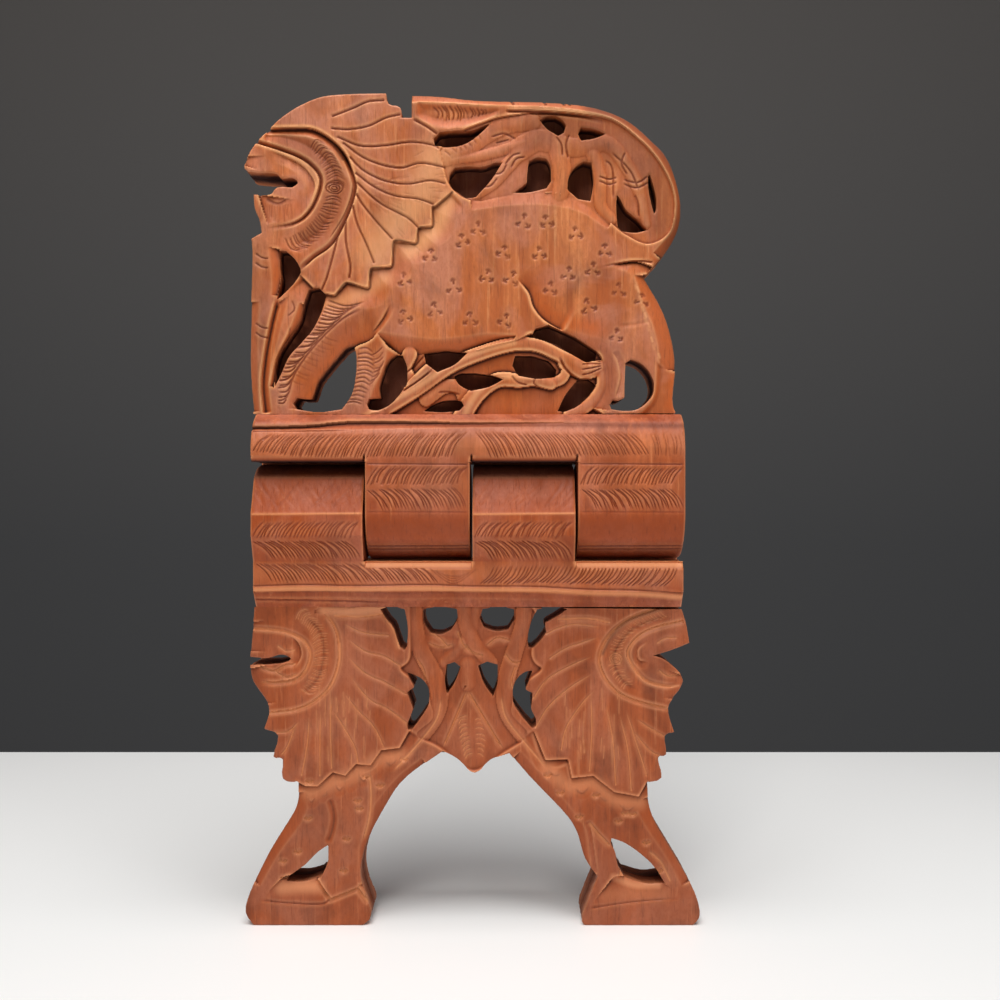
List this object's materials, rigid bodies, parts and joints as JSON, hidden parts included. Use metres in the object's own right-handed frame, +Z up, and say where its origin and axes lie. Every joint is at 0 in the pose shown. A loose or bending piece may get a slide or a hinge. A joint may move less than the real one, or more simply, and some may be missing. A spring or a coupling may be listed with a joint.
{
  "type": "folding book stand",
  "caption": "Folding wooden book stand of two crossed leaves on an integral knuckle hinge, with pierced and carved lion panels, stored folded flat.",
  "frame": {"origin": "on the floor under the middle of the folded stand", "axes": "+Z up from the feet to the top of the carving, +X to the right as seen from the front, +Y from front to rear through the folded leaves; the hinge axis runs along X at z 0.178 m"},
  "size_m": [0.196, 0.0412, 0.358],
  "materials": {
    "carved_wood": "waxed hardwood, carved flats rubbed smooth and cuts left matt",
    "hinge_wood": "waxed hardwood with fine gouge hatching and saw marks",
    "leg_wood": "waxed hardwood, worn at the feet"
  },
  "bodies": {
    "front_leaf": {"front_book_panel": "carved_wood", "front_upper_rail": "hinge_wood", "hinge_knuckle_2": "hinge_wood", "hinge_knuckle_4": "hinge_wood", "rear_lower_rail": "hinge_wood", "rear_leg_panel": "leg_wood"},
    "rear_leaf": {"rear_book_panel": "carved_wood", "rear_upper_rail": "hinge_wood", "hinge_knuckle_1": "hinge_wood", "hinge_knuckle_3": "hinge_wood", "front_lower_rail": "hinge_wood", "front_leg_panel": "leg_wood"}
  },
  "joints": [
    {"name": "leaf_fold", "type": "hinge", "parent": "front_leaf", "child": "rear_leaf", "pos_m": [0, 0, 0.178], "axis": [-1, 0, 0], "range_deg": [0, 90]}
  ]
}
